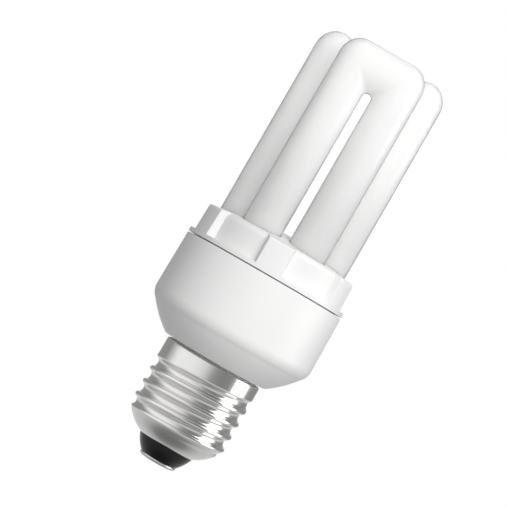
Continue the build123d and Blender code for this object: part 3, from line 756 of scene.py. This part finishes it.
class LAMP_OT_glass_tubes(Operator):
    """Make the three bent tubes with their bridges"""

    bl_idname = "lamp.glass_tubes"
    bl_label = "Glass tubes"

    segments: IntProperty(name="Segments", description="Faces round half a tube", default=32, min=8)
    bend_steps: IntProperty(name="Bend steps", description="Faces along each bend", default=16, min=4)

    def half_tube(self, mesh, sizes, bottom, crown):
        """Half of one bent tube, from the middle of its crown down its right leg, facing +Y."""
        leg = sizes.circle_radius / 2
        radius, tall, slot = sizes.radius, sizes.crown_height, sizes.slot_rounding
        bend = quarter_turn(self.bend_steps)
        outer = [(leg, -radius * sin(turn), crown + tall * cos(turn)) for turn in bend]
        self.spin_half(mesh, line(mesh, outer + [(leg, -radius, bottom)]), leg)
        rims = [edge for edge in mesh.edges if edge.is_boundary and all(
            abs(vert.co.x - leg) < MERGE_DISTANCE and vert.co.z > crown - MERGE_DISTANCE for vert in edge.verts)]
        self.stretch(mesh, rims, lambda co: (0, co.y, co.z))
        self.spin_half(mesh, [mesh.verts.new((leg, radius, bottom))], leg)
        ring = [edge for edge in mesh.edges if edge.is_wire]
        for turn in bend:
            inward, below = radius + slot * (1 - cos(turn)), tall + slot * (1 - sin(turn))
            ring = self.stretch(mesh, ring, lambda co: (
                leg - inward * self.middle(co, radius), co.y, crown - below * self.middle(co, radius)
            ))
        self.stretch(mesh, ring, lambda co: (0, co.y, co.z))

    def middle(self, co, radius):
        """How near a place across the tube is to its middle: 1 there and 0 at its sides."""
        return sqrt(max(1 - (co.y / radius) ** 2, 0))

    def spin_half(self, mesh, geom, leg):
        """Turns edges or a vertex half way round the leg's axis."""
        bmesh.ops.spin(
            mesh, geom=geom, cent=(leg, 0, 0), axis=(0, 0, 1), angle=pi, steps=self.segments,
            use_merge=False, use_duplicate=False
        )

    def stretch(self, mesh, edges, place):
        """Extrudes edges, moves the new vertices to place, and returns the new edges."""
        made = bmesh.ops.extrude_edge_only(mesh, edges=edges)["geom"]
        for vert in only_verts(made):
            vert.co = place(vert.co)
        return [item for item in made if isinstance(item, bmesh.types.BMEdge) and item.is_boundary]

    def execute(self, context):
        sizes = context.scene.lamp_tubes
        low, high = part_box("discharge_tube")
        pair_radius = sizes.circle_radius * cos(radians(30))
        mesh = bmesh.new()
        self.half_tube(mesh, sizes, low.z, high.z - sizes.crown_height)
        merge(mesh)
        bmesh.ops.mirror(mesh, geom=everything(mesh), axis="X", merge_dist=MERGE_DISTANCE)
        merge(mesh)
        bmesh.ops.holes_fill(mesh, edges=mesh.edges[:], sides=0)
        bmesh.ops.translate(mesh, verts=mesh.verts[:], vec=(0, -pair_radius, 0))
        first = everything(mesh)
        for angle in (120, 240):
            copy = bmesh.ops.duplicate(mesh, geom=first)["geom"]
            turn = Matrix.Rotation(radians(angle), 3, "Z")
            bmesh.ops.rotate(mesh, verts=only_verts(copy), cent=(0, 0, 0), matrix=turn)
        for angle in (60, -60):
            turn = Matrix.Rotation(radians(angle), 4, "Z")
            out = Matrix.Translation((0, -pair_radius, sizes.bridge_height))
            bmesh.ops.create_cone(
                mesh, cap_ends=True, segments=24, radius1=sizes.bridge_radius, radius2=sizes.bridge_radius,
                depth=sizes.circle_radius, matrix=turn @ out @ Matrix.Rotation(radians(90), 4, "Y")
            )
        keep(mesh, "glass_tubes", coated_glass(context.scene.lamp_colours.glass), "discharge_tube")
        return {"FINISHED"}


class LAMP_OT_finishes(Operator):
    """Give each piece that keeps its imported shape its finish"""

    bl_idname = "lamp.finishes"
    bl_label = "Finishes"

    def execute(self, context):
        colours = context.scene.lamp_colours
        finishes = {name: moulded(name, *values) for name, values in MOULDINGS.items()}
        finishes.update({name: worn_metal(name, *values) for name, values in METALS.items()})
        finishes["enamelled_wire"] = wound_wire("enamelled_wire", COPPER, COPPER_WIRE)
        finishes["black_glass"] = black_glass(colours.black_glass)
        finishes["white_plastic"] = white_plastic(colours.plastic)
        for name, finish_name in FINISH_OF.items():
            for slot in NODES[name].material_slots:
                slot.material = finishes[finish_name]
        return {"FINISHED"}


class LAMP_OT_studio(Operator):
    """Make the floor, the light, the white surroundings and the camera"""

    bl_idname = "lamp.studio"
    bl_label = "Studio"

    def floor(self, settings):
        mesh = bmesh.new()
        place = Matrix.Translation((0, 0, settings.floor_height))
        bmesh.ops.create_grid(mesh, x_segments=8, y_segments=8, size=settings.floor_reach, matrix=place)
        data = bpy.data.meshes.new("floor")
        mesh.to_mesh(data)
        mesh.free()
        data.materials.append(self.pale_floor(settings))
        floor = bpy.data.objects.new("floor", data)
        bpy.context.scene.collection.objects.link(floor)
        floor.visible_glossy = False

    def pale_floor(self, settings):
        """A floor that takes the lamp's shadow and is near white for the camera alone."""
        def build(nodes):
            seen = nodes.add("ShaderNodeLightPath")["Is Camera Ray"]
            return {
                "Base Color": nodes.blend(nodes.noise(3.0), *FLOOR_TONES),
                "Roughness": 0.9,
                "Specular IOR Level": 0.0,
                "Emission Color": nodes.blend(seen, BLACK, WHITE),
                "Emission Strength": settings.floor_glow,
            }
        return finish("pale_floor", build)

    def surroundings(self, settings):
        """An even room for matt surfaces, a strip light for shiny ones, and white for the camera."""
        world = bpy.data.worlds.new("studio")
        bpy.context.scene.world = world
        world.use_nodes = True
        nodes = Nodes(world.node_tree)
        direction = nodes.add("ShaderNodeTexCoord")["Generated"]
        parts = nodes.add("ShaderNodeSeparateXYZ", None, {"Vector": direction})
        rays = nodes.add("ShaderNodeLightPath")
        turn = nodes.add("ShaderNodeMath", {"operation": "ARCTAN2"}, {0: parts["X"], 1: 0 - parts["Y"]})["Value"]
        share = 0.5 + turn * (1 / tau)
        height = 0.5 + 0.5 * parts["Z"]
        round_about = nodes.ramp(EYE_LEVEL, share) * STRIP_LEVEL
        low_share = nodes.ramp(LOW_SHARE, height)
        in_gloss = choose(low_share, round_about, nodes.ramp(LOW_LEVEL, height))
        right, back, up = ROOM_SLOPE
        room = settings.fill * (1 + right * parts["X"] + back * parts["Y"] + up * parts["Z"])
        on_matt = room + settings.rear_light * nodes.ramp(REAR_SHARE, 0.5 + 0.5 * parts["Y"])
        lit = choose(rays["Is Glossy Ray"], on_matt, in_gloss)
        through = choose(rays["Is Transmission Ray"], lit, settings.back_light)
        shown = choose(rays["Is Camera Ray"], through, 1)
        light = nodes.add("ShaderNodeBackground", None, {"Color": shown, "Strength": 1.0})["Background"]
        nodes.add("ShaderNodeOutputWorld", None, {"Surface": light})

    def key_light(self, settings):
        data = bpy.data.lights.new("key_light", "AREA")
        data.shape = "DISK"
        data.size = settings.key_size
        data.energy = settings.key_power
        light = bpy.data.objects.new("key_light", data)
        flat = cos(settings.key_height)
        toward = Vector((sin(settings.key_side) * flat, -cos(settings.key_side) * flat, sin(settings.key_height)))
        light.location = Vector((0, 0, settings.aim_height)) + toward * settings.key_distance
        light.rotation_euler = toward.to_track_quat("Z", "Y").to_euler()
        light.visible_glossy = False
        bpy.context.scene.collection.objects.link(light)

    def camera(self, settings):
        data = bpy.data.cameras.new("camera")
        data.lens = settings.lens
        data.sensor_width = 36
        data.clip_start = 0.01
        camera = bpy.data.objects.new("camera", data)
        bpy.context.scene.collection.objects.link(camera)
        camera.location = (0, -settings.distance, settings.eye_height)
        ahead = Vector((settings.aim_side, 0, settings.aim_height)) - camera.location
        level = ahead.to_track_quat("-Z", "Y").to_matrix()
        camera.rotation_euler = (level @ Matrix.Rotation(settings.roll, 3, "Z")).to_euler()
        bpy.context.scene.camera = camera

    def execute(self, context):
        settings = context.scene.lamp_studio
        self.floor(settings)
        self.surroundings(settings)
        self.key_light(settings)
        self.camera(settings)
        context.scene.view_settings.view_transform = "Standard"
        return {"FINISHED"}


class LAMP_PT_panel(Panel):
    """The lamp's pieces and the studio"""

    bl_label = "Energy saving lamp"
    bl_idname = "LAMP_PT_panel"
    bl_space_type = "VIEW_3D"
    bl_region_type = "UI"
    bl_category = "Lamp"

    def draw(self, context):
        layout = self.layout
        for operator in OPERATORS:
            layout.operator(operator.bl_idname)
        for name in SETTINGS:
            group = getattr(context.scene, name)
            box = layout.box()
            for key in group.bl_rna.properties.keys():
                if key not in ("rna_type", "name"):
                    box.prop(group, key)


OPERATORS = (LAMP_OT_screw_shell, LAMP_OT_housing, LAMP_OT_glass_tubes, LAMP_OT_finishes, LAMP_OT_studio)
SETTINGS = {
    "lamp_shell": ShellSizes,
    "lamp_housing": HousingSizes,
    "lamp_tubes": TubeSizes,
    "lamp_colours": Colours,
    "lamp_studio": StudioSettings,
}


def register():
    for group in SETTINGS.values():
        bpy.utils.register_class(group)
    for name, group in SETTINGS.items():
        setattr(bpy.types.Scene, name, PointerProperty(type=group))
    for operator in OPERATORS:
        bpy.utils.register_class(operator)
    bpy.utils.register_class(LAMP_PT_panel)


def unregister():
    bpy.utils.unregister_class(LAMP_PT_panel)
    for operator in reversed(OPERATORS):
        bpy.utils.unregister_class(operator)
    for name in SETTINGS:
        delattr(bpy.types.Scene, name)
    for group in reversed(SETTINGS.values()):
        bpy.utils.unregister_class(group)


def main():
    register()
    bpy.ops.lamp.screw_shell()
    bpy.ops.lamp.housing()
    bpy.ops.lamp.glass_tubes()
    bpy.ops.lamp.finishes()
    bpy.ops.lamp.studio()


if __name__ == "__main__":
    main()
